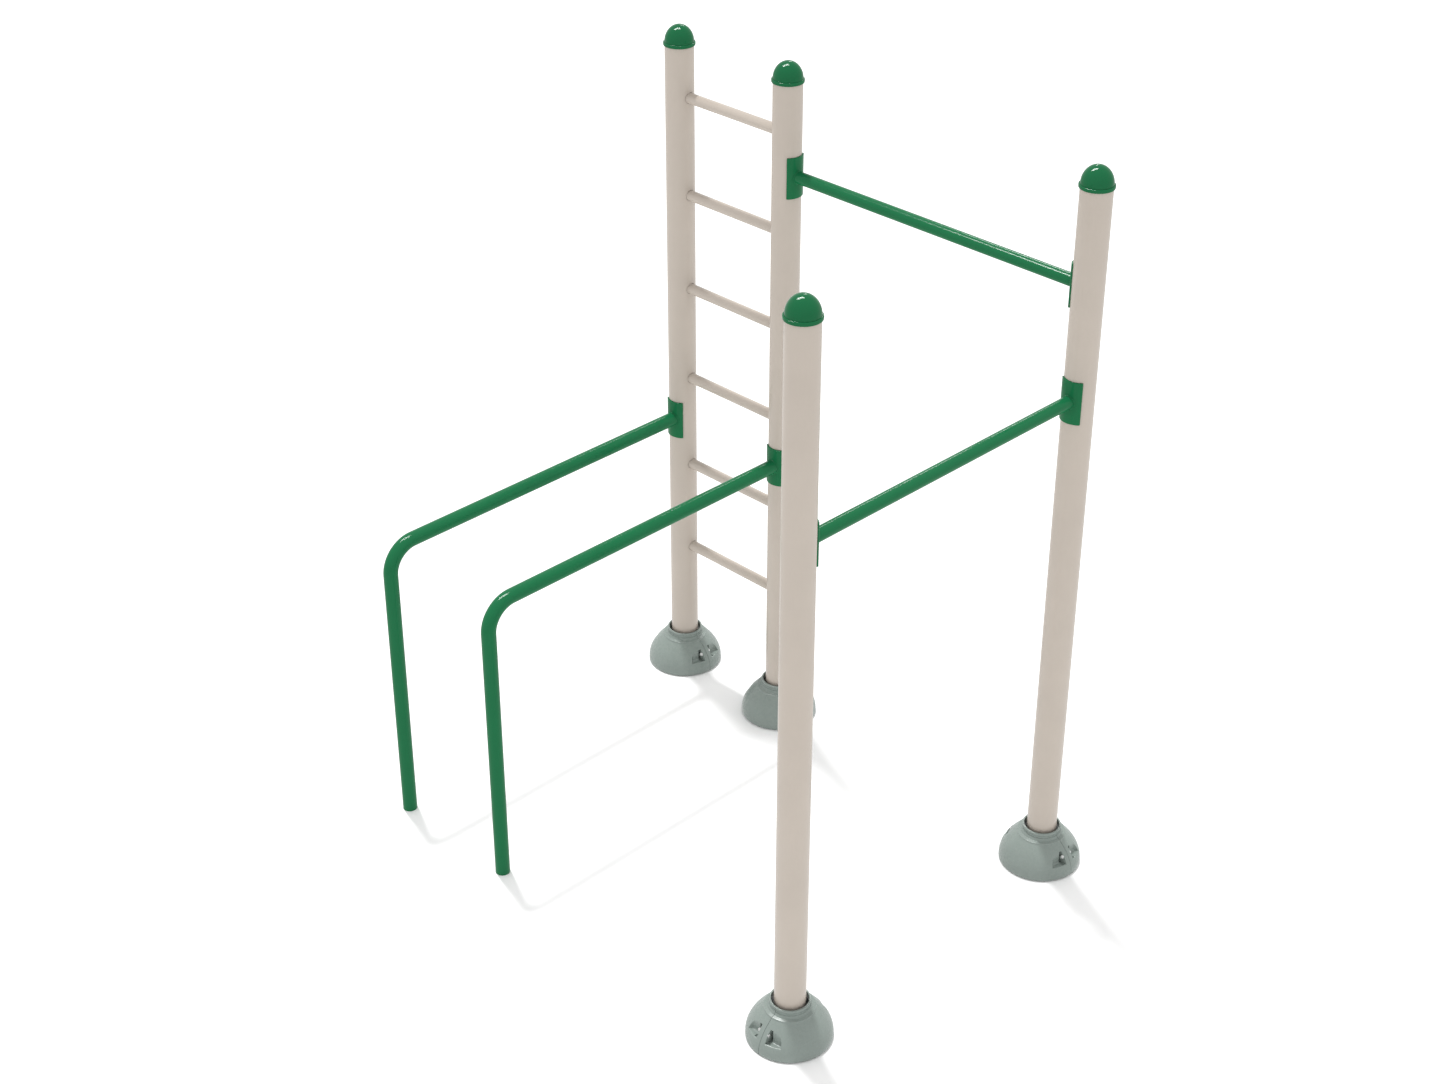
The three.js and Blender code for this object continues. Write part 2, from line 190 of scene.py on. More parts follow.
def skin(name, rings, loop=True):
    """A closed mesh over rings of points. The last joins the first, or the ends are capped."""
    count = len(rings[0])
    points = [point for ring in rings for point in ring]
    faces = []
    for i in range(len(rings) if loop else len(rings) - 1):
        near = i * count
        far = (i + 1) % len(rings) * count
        for j in range(count):
            k = (j + 1) % count
            faces.append((near + j, near + k, far + k, far + j))
    if not loop:
        faces.append(tuple(range(count)))
        faces.append(tuple(range(len(points) - count, len(points))))
    mesh = bpy.data.meshes.new(name)
    mesh.from_pydata(points, [], faces)
    work = bmesh.new()
    work.from_mesh(mesh)
    bmesh.ops.remove_doubles(work, verts=work.verts, dist=SAME_POINT)
    bmesh.ops.recalc_face_normals(work, faces=work.faces)
    work.to_mesh(mesh)
    work.free()
    return mesh


def rounded(corners):
    """A closed outline through (x, y, radius) corners, each turned into an arc of that radius."""
    outline = []
    for i, (x, y, radius) in enumerate(corners):
        here = Vector((x, y))
        if radius == 0:
            outline.append(here)
            continue
        before = (Vector(corners[i - 1][:2]) - here).normalized()
        after = (Vector(corners[(i + 1) % len(corners)][:2]) - here).normalized()
        half = before.angle(after) / 2
        reach = radius / math.tan(half)
        centre = here + (before + after).normalized() * (radius / math.sin(half))
        start = (here + before * reach - centre).normalized()
        end = (here + after * reach - centre).normalized()
        for k in range(ARC_STEPS + 1):
            outline.append(centre + start.slerp(end, k / ARC_STEPS) * radius)
    return outline


def turned(name, outline, sides=ROUND_SIDES):
    """A solid of revolution about Z from a closed outline of (radius, height) points."""
    rings = []
    for i in range(sides):
        angle = 2 * math.pi * i / sides
        across, along = math.cos(angle), math.sin(angle)
        rings.append([(r * across, r * along, z) for r, z in outline])
    return skin(name, rings)


def tube(name, radius, wall, low, high, sides=ROUND_SIDES):
    """A tube standing on Z from low to high, with rounded ends."""
    corners = [(radius - wall, low, EDGE), (radius, low, EDGE)]
    corners += [(radius, high, EDGE), (radius - wall, high, EDGE)]
    return turned(name, rounded(corners), sides)


def ring_angles(sides=ROUND_SIDES // 2):
    return [2 * math.pi * i / sides for i in range(sides)]


# ---------------------------------------------------------------- posts, rungs and caps
def post_piece(post, looks):
    low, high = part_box(post)
    centre, radius = middle(post), half_size(post).x
    mesh = tube(post, radius, POST_WALL, low.z, high.z, 2 * ROUND_SIDES)
    mesh.transform(Matrix.Translation((centre.x, centre.y, 0)))
    if post in LADDER_POSTS:
        mesh = drilled(mesh, post)
    finished(f"{post}_tube", mesh, post, looks["post_paint"])


def drilled(mesh, post):
    """The post's mesh with a hole for each rung, on the side where the rungs are."""
    work = bmesh.new()
    for rung in RUNGS:
        centre, half = middle(rung), half_size(rung)
        turn = Matrix.Rotation(math.pi / 2, 4, "Y")
        place = Matrix.Translation(centre) @ turn
        bmesh.ops.create_cone(
            work, cap_ends=True, segments=ROUND_SIDES // 2, depth=2 * half.x,
            radius1=half.z + HOLE_CLEARANCE, radius2=half.z + HOLE_CLEARANCE, matrix=place)
    drills = bpy.data.meshes.new("drills")
    work.to_mesh(drills)
    work.free()
    cutter = bpy.data.objects.new("drills", drills)
    blank = bpy.data.objects.new("blank", mesh)
    for thing in (cutter, blank):
        bpy.context.scene.collection.objects.link(thing)
    cut = blank.modifiers.new("rung holes", "BOOLEAN")
    cut.operation = "DIFFERENCE"
    cut.solver = "EXACT"
    cut.object = cutter
    result = bpy.data.meshes.new_from_object(
        blank.evaluated_get(bpy.context.evaluated_depsgraph_get()))
    for thing in (cutter, blank):
        bpy.data.objects.remove(thing)
    result.materials.clear()
    return result


def rung_piece(rung, looks):
    centre, half = middle(rung), half_size(rung)
    mesh = tube(rung, half.z, RUNG_WALL, -half.x, half.x)
    mesh.transform(Matrix.Translation(centre) @ Matrix.Rotation(math.pi / 2, 4, "Y"))
    finished(f"{rung}_tube", mesh, rung, looks["post_paint"])


def cap_piece(post, looks):
    node = f"{post}_cap"
    low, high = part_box(node)
    rim_r = half_size(node).x
    plug_r = half_size(post).x - POST_WALL - EDGE / 2
    rim_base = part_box(post)[1].z + EDGE / 2
    dome_base = rim_base + CAP_RIM_HEIGHT
    inner_r = plug_r - CAP_WALL
    rise = high.z - dome_base
    corners = [(inner_r, dome_base, 0), (inner_r, low.z, EDGE), (plug_r, low.z, EDGE)]
    corners += [(plug_r, rim_base, 0), (rim_r, rim_base, CAP_RIM_LOW_EDGE)]
    corners += [(rim_r, dome_base, CAP_RIM_HIGH_EDGE), (CAP_DOME_R, dome_base, 0)]
    outline = [Vector((0, high.z - CAP_WALL))] + rounded(corners)[:-1]
    for k in range(CAP_DOME_STEPS + 1):
        angle = math.pi / 2 * k / CAP_DOME_STEPS
        outline.append(Vector((CAP_DOME_R * math.cos(angle), dome_base + rise * math.sin(angle))))
    outline[-1].x = 0
    mesh = turned(node, outline)
    centre = middle(post)
    mesh.transform(Matrix.Translation((centre.x, centre.y, 0)))
    finished(f"{node}_dome", mesh, node, looks["cap_paint"])


# ---------------------------------------------------------------- saddles, bars and welds
def saddle_piece(node, post, looks):
    """The plate welded round the post, with small rounded edges all round."""
    axis, centre, half = middle(post), middle(node), half_size(node)
    facing = math.atan2(centre.y - axis.y, centre.x - axis.x)
    outer = saddle_radius(node, post)
    inner = half_size(post).x
    rings = []
    for k in range(SADDLE_STEPS + 1):
        angle = SADDLE_HALF_ANGLE * (2 * k / SADDLE_STEPS - 1)
        from_end = (SADDLE_HALF_ANGLE - abs(angle)) * outer
        depth = max(0.0, 1 - from_end / SADDLE_EDGE)
        inset = SADDLE_EDGE * (1 - math.sqrt(1 - depth * depth))
        rings.append(saddle_section(inner, outer, half.z, inset, facing + angle))
    mesh = skin(node, rings, loop=False)
    mesh.transform(Matrix.Translation((axis.x, axis.y, centre.z)))
    finished(f"{node}_plate", mesh, node, looks["bar_paint"])


def saddle_section(inner, outer, half_height, inset, angle):
    top = half_height - inset
    corners = [(inner, -top, 0), (outer - inset, -top, SADDLE_EDGE - inset / 2)]
    corners += [(outer - inset, top, SADDLE_EDGE - inset / 2), (inner, top, 0)]
    return [(r * math.cos(angle), r * math.sin(angle), z) for r, z in rounded(corners)]


def saddle_radius(node, post):
    """Outer radius of a saddle about its post's axis."""
    axis = middle(post)
    low, high = (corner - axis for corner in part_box(node))
    return max(abs(low.x), abs(high.x), abs(low.y), abs(high.y))


def bar_ring(radius, cope, reach):
    """A ring round a bar along X, with its points moved out to the cylinder it is cut to."""
    ring = []
    for angle in ring_angles():
        y, z = radius * math.cos(angle), radius * math.sin(angle)
        ring.append((reach(math.sqrt(cope * cope - y * y)), y, z))
    return ring


def bar_piece(node, start, end, looks):
    """A pull-up bar from the saddle on one post to the saddle on the next."""
    first, last = middle(start), middle(end)
    along = Vector((last.x - first.x, last.y - first.y, 0))
    span = along.length
    radius = half_size(node).z
    cope = saddle_radius(f"{node}_saddle_start", start)
    rings = [bar_ring(radius, cope, lambda x: x), bar_ring(radius, cope, lambda x: span - x)]
    inner = radius - BAR_WALL
    rings += [bar_ring(inner, cope, lambda x: span - x), bar_ring(inner, cope, lambda x: x)]
    mesh = skin(node, rings)
    turn = Matrix.Rotation(math.atan2(along.y, along.x), 4, "Z")
    place = Matrix.Translation((first.x, first.y, middle(node).z)) @ turn
    mesh.transform(place)
    finished(f"{node}_tube", mesh, node, looks["bar_paint"])
    weld_piece(f"{node}_weld_start", radius, cope, place, looks)
    mirrored = place @ Matrix.Translation((span, 0, 0)) @ Matrix.Rotation(math.pi, 4, "Z")
    weld_piece(f"{node}_weld_end", radius, cope, mirrored, looks)


def weld_piece(name, radius, cope, place, looks):
    """The weld bead where a bar along +X meets its saddle."""
    rings = []
    for angle in ring_angles(2 * ROUND_SIDES):
        bead = WELD_R * (1 + WELD_RIPPLE * math.sin(WELD_RIPPLES * angle))
        y, z = radius * math.cos(angle), radius * math.sin(angle)
        x = math.sqrt(cope * cope - y * y)
        ring = []
        for turn in ring_angles(WELD_SIDES):
            out = bead * math.cos(turn) / radius
            ring.append((x + bead * math.sin(turn), y * (1 + out), z * (1 + out)))
        rings.append(ring)
    mesh = skin(name, rings)
    mesh.transform(place)
    finished(name, mesh, None, looks["bar_paint"])


def parallel_bar_piece(node, post, looks):
    """A level bar from the post's saddle, bent down to a leg that stands on the ground."""
    low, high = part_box(node)
    radius = half_size(node).x
    axis = middle(post)
    cope = saddle_radius(f"{node}_saddle", post)
    level = high.z - radius
    leg = low.y + radius
    inner = radius - BAR_WALL
    rings = [rail_ring(radius, cope, axis, level)]
    path = rail_path(axis.y, leg, level)
    for size, stations in ((radius, path), (inner, path[::-1])):
        for y, z, lean in stations:
            rings.append([
                (axis.x + size * math.cos(a), y - size * math.sin(a) * math.sin(lean),
                 z + size * math.sin(a) * math.cos(lean))
                for a in ring_angles()])
    rings.append(rail_ring(inner, cope, axis, level))
    finished(f"{node}_tube", skin(node, rings), node, looks["bar_paint"])
    place = Matrix.Translation((axis.x, axis.y, level)) @ Matrix.Rotation(-math.pi / 2, 4, "Z")
    weld_piece(f"{node}_weld", radius, cope, place, looks)


def rail_ring(radius, cope, axis, level):
    """The parallel bar's end, cut to the saddle."""
    ring = []
    for angle in ring_angles():
        x = radius * math.cos(angle)
        y = -math.sqrt(cope * cope - x * x)
        ring.append((axis.x + x, axis.y + y, level + radius * math.sin(angle)))
    return ring


def rail_path(start, leg, level):
    """(y, z, lean) stations round the bend and down to the ground; lean 0 is a level tube."""
    path = []
    for k in range(BEND_STEPS + 1):
        lean = math.pi / 2 * k / BEND_STEPS
        y = leg + RAIL_BEND - RAIL_BEND * math.sin(lean)
        path.append((y, level - RAIL_BEND + RAIL_BEND * math.cos(lean), lean))
    path.append((leg, 0.0, math.pi / 2))
    return path


# ---------------------------------------------------------------- base covers
class CoverShape:
    """Half of a base cover on the +Y side of its seam. With an inset it is the space inside."""

    def __init__(self, inset, foot, foot_r):
        self.edge = foot + COVER_EDGE
        self.foot_r = foot_r - inset
        self.shoulder_r = COVER_SHOULDER_R - inset
        self.shoulder = COVER_SHOULDER - inset
        self.floor = POCKET_FLOOR - inset
        self.ceiling = SLOT_TOP + inset
        self.seat = SLOT_SEAT - inset
        self.back = SLOT_BACK - inset
        self.face = SCOOP_FACE - inset
        self.well = 0 if inset else SLOT_WELL
        self.side = SLOT_SIDE + inset / SCOOP_FACE
        self.end = SCOOP_END + inset / SCOOP_FACE
        self.t_floor = self.t_at_height(self.floor)
        self.rim = self.point(self.t_floor)[0]

    def point(self, t):
        """(radius, height) on the dome, for t from 0 at its foot to 1 at its shoulder."""
        r = self.foot_r - (self.foot_r - self.shoulder_r) * t * t
        z = self.edge * (1 - t) ** 2 + 2 * COVER_BULGE * t * (1 - t) + self.shoulder * t * t
        return r, z

    def t_at_height(self, z):
        bend = self.edge - 2 * COVER_BULGE + self.shoulder
        slope = 2 * (COVER_BULGE - self.edge)
        rise = z - self.edge
        return 2 * rise / (slope + math.sqrt(slope * slope + 4 * bend * rise))

    def t_at_radius(self, r):
        share = (self.foot_r - r) / (self.foot_r - self.shoulder_r)
        return math.sqrt(min(1.0, max(0.0, share)))

    def pocket(self, angle):
        """(radius of the pocket's wall, its fillet) at this angle. Outside the pocket: the rim."""
        if angle <= 0 or angle >= self.end:
            return self.rim, 0
        if angle < self.side:
            wall = max(self.seat / math.sin(angle), self.back / math.cos(angle))
            return min(wall, self.rim), SLOT_FILLET
        wall = self.face / (math.cos(angle) + SCOOP_LEAN * math.sin(angle))
        past_lip = min(1.0, (angle - self.side) / SCOOP_LIP)
        wall -= SCOOP_LIP * wall * (1 - math.sqrt(1 - (1 - past_lip) ** 2))
        past_start = max(0.0, 1 - (self.end - angle) / SCOOP_ROUND)
        wall += (self.rim - wall) * (1 - math.sqrt(1 - past_start ** 2))
        return min(wall, self.rim), SCOOP_FILLET

    def drop(self, angle, wall):
        """How far the floor drops behind the front wall at this angle."""
        if angle >= self.side:
            return 0
        return self.well * min(1.0, max(0.0, (self.rim - SLOT_FRONT - wall) / SLOT_FRONT))

    def angles(self, steps):
        """Angles at which the pocket's plan bends or curves."""
        corner = math.atan2(self.seat, self.back)
        first = math.asin(self.seat / self.rim)
        meets_ceiling = math.asin(self.seat / self.point(self.t_at_height(self.ceiling))[0])
        far_side = self.side - LIP_HAIR
        found = [meets_ceiling, far_side]
        for k in range(steps + 1):
            share = k / steps
            found.append(first + (corner - first) * share)
            found.append(corner + (far_side - corner) * share)
            found.append(self.side + SCOOP_LIP * share)
            found.append(self.side + (self.end - SCOOP_ROUND - self.side) * share)
            found.append(self.end - SCOOP_ROUND * (1 - math.sin(math.pi / 2 * share)))
        return found

    def column(self, angle, steps):
        """(radius, height) points up the dome at this angle, in and out of the pocket."""
        angle = min(angle, math.pi - angle)
        wall, fillet = self.pocket(angle)
        floor = self.floor - self.drop(angle, wall)
        t_top = max(self.t_floor, self.t_at_radius(wall))
        if self.point(t_top)[1] > self.ceiling:
            t_top = self.t_at_height(self.ceiling)
        brow, top = self.point(t_top)
        tall, deep = top - self.floor, self.rim - wall
        edge = min(POCKET_EDGE, MOST_EDGE * tall, MOST_EDGE * deep)
        fillet = min(fillet, MOST_FILLET_UP * tall, MOST_FILLET_IN * deep)
        below = self.t_floor - edge / COVER_SPAN
        points = [self.point(below * k / (2 * steps)) for k in range(2 * steps + 1)]
        lip, toe = self.rim - edge, wall + fillet
        front = max(toe, self.rim - SLOT_FRONT)
        points += [(lip, self.floor), (front, self.floor), (front, floor)]
        for k in range(1, FLOOR_STEPS):
            points.append((front + (toe - front) * k / FLOOR_STEPS, floor))
        for k in range(steps + 1):
            turn = math.pi / 2 * k / steps
            points.append((toe - fillet * math.sin(turn), floor + fillet * (1 - math.cos(turn))))
        low, high = floor + fillet, top - edge
        points += [(wall, low + (high - low) * k / steps) for k in range(1, steps + 1)]
        roof = max(wall, brow - edge)
        roof_z = top if brow - wall > edge else high
        for k in range(1, ROOF_STEPS + 1):
            points.append((wall + (roof - wall) * k / ROOF_STEPS, roof_z))
        first = t_top + edge / COVER_SPAN
        points += [self.point(first + (1 - first) * k / (4 * steps)) for k in range(4 * steps + 1)]
        return points


def collar_outline(top):
    """The outline above the dome: the shoulder's edge and flat, the grooved collar, its lip."""
    corners = [
        (COVER_SHOULDER_R - RIDGE_INSET, COVER_RIDGE, RIDGE_ROUND),
        (COVER_COLLAR_FOOT_R, COVER_COLLAR_FOOT, FOOT_ROUND),
        (COVER_COLLAR_R + FLARE_OUT, COVER_FLARE, FLARE_ROUND),
    ]
    groove_r = COVER_COLLAR_R - GROOVE_DEPTH
    for depth in GROOVES_BELOW_TOP:
        groove = top - depth
        corners += [
            (COVER_COLLAR_R + BELOW_GROOVE_OUT, groove - GROOVE_HALF_MOUTH, 0),
            (groove_r, groove - GROOVE_HALF_FLOOR, 0),
            (groove_r, groove + GROOVE_HALF_FLOOR, 0),
            (COVER_COLLAR_R, groove + GROOVE_HALF_MOUTH, 0),
        ]
    corners += [
        (COVER_COLLAR_R, top, LIP_ROUND),
        (COVER_BORE, top, LIP_ROUND / 2),
        (COVER_BORE, COVER_BORE_BASE, 0),
    ]
    start = (COVER_SHOULDER_R, COVER_SHOULDER, 0)
    end = (COVER_SHOULDER_R - COVER_WALL, COVER_SHOULDER - COVER_WALL, 0)
    return [(p.x, p.y) for p in rounded([start] + corners + [end])[1:-1]]


def cover_piece(post, letter, looks):
    """One half of a base cover: its outside and its inside, joined at the foot and the collar."""
    node = f"{post}_cover_{letter}"
    low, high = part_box(node)
    axis, centre, half = middle(post), middle(node), half_size(node)
    foot_r = max(half.x, half.y)
    outer = CoverShape(0, low.z, foot_r)
    inner = CoverShape(COVER_WALL, low.z, foot_r)
    angles = outer.angles(steps=8) + inner.angles(steps=3)
    angles += [math.pi - angle for angle in angles]
    angles += [math.pi * k / COVER_SIDES for k in range(COVER_SIDES + 1)]
    foot = [(foot_r - COVER_WALL, low.z), (foot_r - EDGE, low.z), (foot_r, low.z + EDGE)]
    rings = []
    for angle in sorted(set(round(a, 6) for a in angles)):
        loop = foot + outer.column(angle, steps=6) + collar_outline(high.z)
        loop += inner.column(angle, steps=2)[::-1]
        rings.append([
            (r * math.cos(angle), SEAM_GAP + r * math.sin(angle) * (1 - SEAM_GAP / foot_r), z)
            for r, z in loop])
    mesh = skin(node, rings, loop=False)
    facing = math.atan2(centre.y - axis.y, centre.x - axis.x)
    turn = Matrix.Rotation(facing - math.pi / 2, 4, "Z")
    mesh.transform(Matrix.Translation((axis.x, axis.y, 0)) @ turn)
    finished(f"{node}_shell", mesh, node, looks["cover_plastic"])


def hexagon(angle, corner_r):
    """Distance from the centre to the side of a hexagon with a flat at angle 0."""
    from_flat = (angle + math.pi / 6) % (math.pi / 3) - math.pi / 6
    return corner_r * math.cos(math.pi / 6) / math.cos(from_flat)


def bolt_ring(z, radius, hexagonal):
    """A round ring, or a hexagonal one with its corners turned off at the radius."""
    ring = []
    for angle in ring_angles(BOLT_SIDES):
        r = min(hexagon(angle, HEAD_R), radius) if hexagonal else radius
        ring.append((r * math.cos(angle), r * math.sin(angle), z))
    return ring


def bolt_end(side, tip):
    """Rings from the seat outwards: the washer, the chamfered hexagon and the end of the shank."""
    seat = SLOT_SEAT + EDGE / 2
    hex_base, hex_top = seat + WASHER_HEIGHT, seat + HEAD_HEIGHT
    chamfer = HEAD_R * HEAD_CHAMFER
    profile = [(seat, WASHER_R, False), (hex_base, WASHER_R, False), (hex_base, HEAD_R, True)]
    profile += [(hex_top - chamfer, HEAD_R, True), (hex_top, HEAD_R - 2 * chamfer, True)]
    profile += [(hex_top, SHANK_R, False), (hex_top + tip, SHANK_R, False)]
    profile += [(hex_top + tip, SHANK_R / 2, False)]
    return [bolt_ring(side * z, radius, hexagonal) for z, radius, hexagonal in profile]


def cover_bolt_piece(post, letter, looks):
    """The bolt that clamps a seam, with its head at one end and its nut and tip at the other."""
    node = f"{post}_cover_bolt_{letter}"
    axis, centre = middle(post), middle(node)
    rings = bolt_end(-1, HEAD_TIP)[::-1] + [bolt_ring(0, SHANK_R, False)] + bolt_end(1, SHANK_TIP)
    mesh = skin(node, rings, loop=False)
    facing = math.atan2(centre.y - axis.y, centre.x - axis.x)
    along = Vector((math.cos(facing), math.sin(facing), 0))
    reach = (centre - axis).dot(along)
    place = Vector((axis.x, axis.y, centre.z)) + along * reach
    turn = Matrix.Rotation(facing, 4, "Z") @ Matrix.Rotation(math.pi / 2, 4, "X")
    mesh.transform(Matrix.Translation(place) @ turn)
    finished(f"{node}_hex", mesh, node, looks["bright_zinc"])


# ---------------------------------------------------------------- finishes
POST_COLOUR = (0.455, 0.402, 0.350)
BAR_COLOUR = (0.009, 0.128, 0.048)
CAP_COLOUR = (0.008, 0.112, 0.042)
COVER_COLOUR = (0.215, 0.253, 0.233)
STEEL_COLOUR = (0.62, 0.63, 0.64)
BOLT_COLOUR = (0.72, 0.73, 0.72)

NOISE_RANGE = (0.3, 0.7)   # most of a noise texture's values
FULL_RANGE = (0.0, 1.0)
MIX_FACTOR, MIX_FIRST, MIX_SECOND, MIX_RESULT = 0, 6, 7, 2     # sockets of a colour mix


def new_look(name):
    look = bpy.data.materials.new(name)
    look.use_nodes = True
    return look, look.node_tree, look.node_tree.nodes["Principled BSDF"]


def add(tree, kind, inputs=(), **settings):
    made = tree.nodes.new(kind)
    for key, value in settings.items():
        setattr(made, key, value)
    for key, value in dict(inputs).items():
        if isinstance(value, bpy.types.NodeSocket):
            tree.links.new(value, made.inputs[key])
        else:
            made.inputs[key].default_value = value
    return made


def noise(tree, scale, detail=2.0, roughness=0.5):
    where = add(tree, "ShaderNodeTexCoord").outputs["Object"]
    values = {"Vector": where, "Scale": scale, "Detail": detail, "Roughness": roughness}
    return add(tree, "ShaderNodeTexNoise", values).outputs["Fac"]


def spread(tree, value, low, high, source=NOISE_RANGE):
    """Value stretched from its source range to low..high."""
    numbers = {"Value": value, "To Min": low, "To Max": high}
    numbers["From Min"], numbers["From Max"] = source
    return add(tree, "ShaderNodeMapRange", numbers).outputs["Result"]


def blended(tree, factor, first, second):
    """A mix of two colours."""
    mix = add(tree, "ShaderNodeMix", data_type="RGBA")
    tree.links.new(factor, mix.inputs[MIX_FACTOR])
    mix.inputs[MIX_FIRST].default_value = (*first, 1)
    mix.inputs[MIX_SECOND].default_value = (*second, 1)
    return mix.outputs[MIX_RESULT]


def shade(colour, share):
    return tuple(min(1.0, c * share) for c in colour)


def bumped(tree, shader, height, distance):
    bump = add(tree, "ShaderNodeBump", {"Height": height, "Distance": distance, "Strength": 1.0})
    tree.links.new(bump.outputs["Normal"], shader.inputs["Normal"])


def powder_coat(name, colour, roughness, specular, peel):
    """Powder-coated steel: slight orange peel, a little mottling and uneven gloss."""
    look, tree, shader = new_look(name)
    mottle = spread(tree, noise(tree, scale=5.0, detail=5.0, roughness=0.6), low=0.0, high=1.0)
    paint = blended(tree, mottle, shade(colour, 0.97), shade(colour, 1.03))
    tree.links.new(paint, shader.inputs["Base Color"])
    cloud = noise(tree, scale=38.0, detail=6.0, roughness=0.65)
    gloss = spread(tree, cloud, low=roughness - 0.02, high=roughness + 0.03)
    tree.links.new(gloss, shader.inputs["Roughness"])
    bumped(tree, shader, noise(tree, scale=420.0), distance=peel)
    shader.inputs["Specular IOR Level"].default_value = specular
    return look


def moulded_plastic(name, colour):
    """Moulded cover: fine grain in the surface and faint flow marks."""
    look, tree, shader = new_look(name)
    flow = spread(tree, noise(tree, scale=9.0, detail=4.0, roughness=0.55), low=0.0, high=1.0)
    plastic = blended(tree, flow, shade(colour, 0.96), shade(colour, 1.04))
    tree.links.new(plastic, shader.inputs["Base Color"])
    gloss = spread(tree, noise(tree, scale=60.0, detail=5.0), low=0.24, high=0.31)
    tree.links.new(gloss, shader.inputs["Roughness"])
    grain = noise(tree, scale=700.0, detail=3.0, roughness=0.6)
    bumped(tree, shader, grain, distance=0.000012)
    shader.inputs["Specular IOR Level"].default_value = 0.3
    return look


def galvanised_steel(name, colour):
    """Hot-dip zinc with its crystal spangle."""
    look, tree, shader = new_look(name)
    where = add(tree, "ShaderNodeTexCoord").outputs["Object"]
    crystals = add(tree, "ShaderNodeTexVoronoi", {"Vector": where, "Scale": 140.0})
    grey = spread(tree, crystals.outputs["Color"], low=0.0, high=1.0, source=FULL_RANGE)
    zinc = blended(tree, grey, shade(colour, 0.8), shade(colour, 1.1))
    tree.links.new(zinc, shader.inputs["Base Color"])
    dull = spread(tree, grey, low=0.32, high=0.55, source=FULL_RANGE)
    tree.links.new(dull, shader.inputs["Roughness"])
    bumped(tree, shader, noise(tree, scale=500.0, detail=3.0), distance=0.00005)
    shader.inputs["Metallic"].default_value = 1.0
    return look


def bright_zinc(name, colour):
    """Zinc-plated fasteners: bright, with a fine turned grain and duller patches."""
    look, tree, shader = new_look(name)
    patches = spread(tree, noise(tree, scale=160.0, detail=5.0, roughness=0.6), low=0.0, high=1.0)
    zinc = blended(tree, patches, shade(colour, 1.05), shade(colour, 0.82))
    tree.links.new(zinc, shader.inputs["Base Color"])
    dull = spread(tree, patches, low=0.28, high=0.45, source=FULL_RANGE)
    tree.links.new(dull, shader.inputs["Roughness"])
    bumped(tree, shader, noise(tree, scale=2200.0), distance=0.00003)
    shader.inputs["Metallic"].default_value = 1.0
    return look


def make_looks():
    return {
        "post_paint": powder_coat(
            "beige_powder_coat", POST_COLOUR, roughness=0.24, specular=0.4, peel=0.000010),
        "bar_paint": powder_coat(
            "green_powder_coat", BAR_COLOUR, roughness=0.15, specular=0.12, peel=0.000004),
        "cap_paint": powder_coat(
            "green_cap_gloss", CAP_COLOUR, roughness=0.10, specular=0.12, peel=0.000002),
        "cover_plastic": moulded_plastic("grey_green_plastic", COVER_COLOUR),
        "zinc_steel": galvanised_steel("galvanised_steel", STEEL_COLOUR),
        "bright_zinc": bright_zinc("bright_zinc_plate", BOLT_COLOUR),
    }


def paint_cad_node(name, look):
    slots = frame["nodes"][name].data.materials
    slots.clear()
    slots.append(look)


# ---------------------------------------------------------------- stage, light and camera
FLOOR_HALF = 14.0
FLOOR_COLOUR = (0.93, 0.93, 0.93, 1)

SUN_FROM = Vector((-0.22, 0.08, 1.0)).normalized()
SUN_STRENGTH = 2.1
SUN_SPREAD = math.radians(3.5)

SOFTBOX_DISTANCE = 12.0
SOFTBOXES = (
    # direction from the object, direction of the long side, width, height, brightness
    ((-0.27, 0.02, 0.96), (0.707, 0.707, 0.0), 6.5, 2.2, 60.0),
    ((-0.42, 0.61, 0.66), (0.0, 1.0, 0.0), 2.5, 0.8, 20.0),
)
GLOSSY_LOOKS = ("bar_paint", "cap_paint", "cover_plastic")

CAMERA_PLACE = (4.70821, -4.74079, 5.17954)
CAMERA_YAW = -0.786731
CAMERA_PITCH = 0.541156    # below the horizon
CAMERA_LENS = 59.20        # millimetres, on a sensor of this width
CAMERA_SENSOR = 36.0
CAMERA_REACH = 60.0


def make_floor():
    side = FLOOR_HALF
    mesh = bpy.data.meshes.new("floor")
    corners = [(-side, -side, 0), (side, -side, 0), (side, side, 0), (-side, side, 0)]
    mesh.from_pydata(corners, [], [(0, 1, 2, 3)])
    floor = bpy.data.objects.new("floor", mesh)
    bpy.context.scene.collection.objects.link(floor)
    look, _, shader = new_look("pale_floor")
    shader.inputs["Base Color"].default_value = FLOOR_COLOUR
    shader.inputs["Roughness"].default_value = 1.0
    shader.inputs["Specular IOR Level"].default_value = 0.0
    mesh.materials.append(look)
    floor.visible_glossy = False


def make_world():
    """White light from all sides."""
    world = bpy.data.worlds.new("studio")
    bpy.context.scene.world = world
    world.use_nodes = True
    sky = world.node_tree.nodes["Background"]
    sky.inputs["Color"].default_value = (1, 1, 1, 1)
    sky.inputs["Strength"].default_value = 1.0


def make_sun():
    lamp = bpy.data.lights.new("key", "SUN")
    lamp.energy = SUN_STRENGTH
    lamp.angle = SUN_SPREAD
    key = bpy.data.objects.new("key", lamp)
    key.rotation_mode = "QUATERNION"
    key.rotation_quaternion = (-SUN_FROM).to_track_quat("-Z", "Y")
    key.visible_glossy = False
    bpy.context.scene.collection.objects.link(key)


